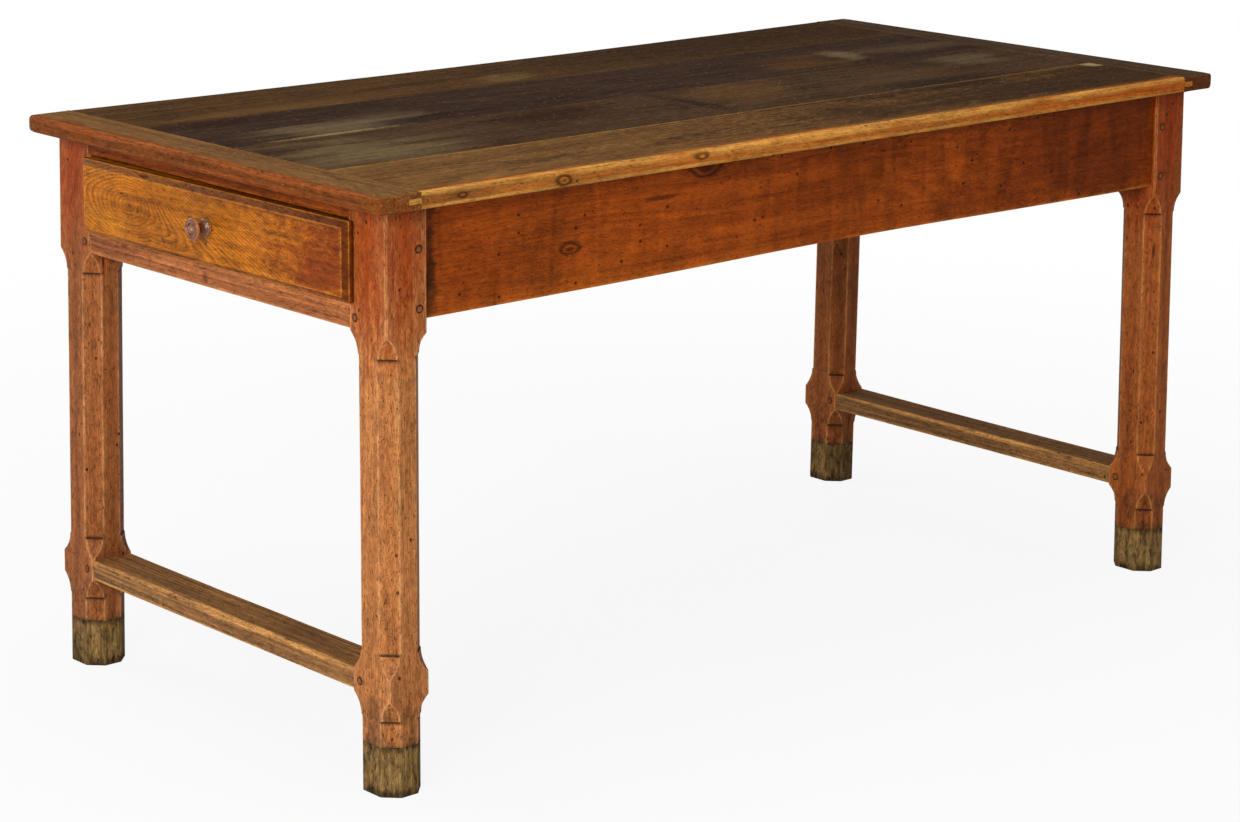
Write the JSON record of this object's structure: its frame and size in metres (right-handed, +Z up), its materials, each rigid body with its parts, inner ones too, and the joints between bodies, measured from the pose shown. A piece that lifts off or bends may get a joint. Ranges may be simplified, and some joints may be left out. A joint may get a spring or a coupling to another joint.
{
  "type": "refectory table with end drawer",
  "caption": "Long wooden refectory table with breadboard ends, stop-chamfered square legs on spliced feet, a low stretcher at each end and a knobbed drawer in one end.",
  "frame": {"origin": "on the floor, under the middle of the table top", "axes": "+X along the table, away from the drawer end; +Y across it; +Z up"},
  "size_m": [1.572, 0.756, 0.76],
  "materials": {
    "top_wood": "waxed, worn, dark grey-brown patina",
    "cleat_wood": "waxed, worn reddish brown",
    "leg_wood": "waxed fruitwood, satin",
    "foot_wood": "unpolished greenish brown",
    "apron_wood": "waxed fruitwood, figured, satin",
    "stretcher_wood": "worn, waxed",
    "peg_wood": "dark end grain",
    "drawer_front_wood": "polished golden burr and crown figure",
    "knob_wood": "turned, polished",
    "secondary_wood": "unfinished, dusty",
    "old_iron": "forged, dull"
  },
  "bodies": {
    "frame": {"top_board_near": "top_wood", "top_board_mid_near": "top_wood", "top_board_mid_far": "top_wood", "top_board_far": "top_wood", "cleat_drawer_end": "cleat_wood", "cleat_plain_end": "cleat_wood", "leg_drawer_near": "leg_wood", "leg_drawer_far": "leg_wood", "leg_plain_near": "leg_wood", "leg_plain_far": "leg_wood", "foot_drawer_near": "foot_wood", "foot_drawer_far": "foot_wood", "foot_plain_near": "foot_wood", "foot_plain_far": "foot_wood", "foot_dowels": "secondary_wood", "apron_near": "apron_wood", "apron_far": "apron_wood", "apron_plain_end": "apron_wood", "rail_over_drawer": "leg_wood", "rail_under_drawer": "leg_wood", "stretcher_drawer_end": "stretcher_wood", "stretcher_plain_end": "stretcher_wood", "apron_pegs": "peg_wood", "rail_pegs": "peg_wood", "stretcher_pegs": "peg_wood", "drawer_runner_near": "secondary_wood", "drawer_runner_far": "secondary_wood", "drawer_guide_near": "secondary_wood", "drawer_guide_far": "secondary_wood", "drawer_kicker_near": "secondary_wood", "drawer_kicker_far": "secondary_wood", "guide_nails": "old_iron", "top_buttons": "secondary_wood", "top_button_screws": "old_iron", "rail_screws": "old_iron"},
    "drawer": {"drawer_front": "drawer_front_wood", "drawer_side_near": "secondary_wood", "drawer_side_far": "secondary_wood", "drawer_back": "secondary_wood", "drawer_bottom": "secondary_wood", "drawer_knob": "knob_wood", "drawer_bottom_nails": "old_iron"}
  },
  "joints": [
    {"name": "drawer_slide", "type": "slide", "parent": "frame", "child": "drawer", "axis": [-1, 0, 0], "range_m": [0, 0.32]}
  ]
}
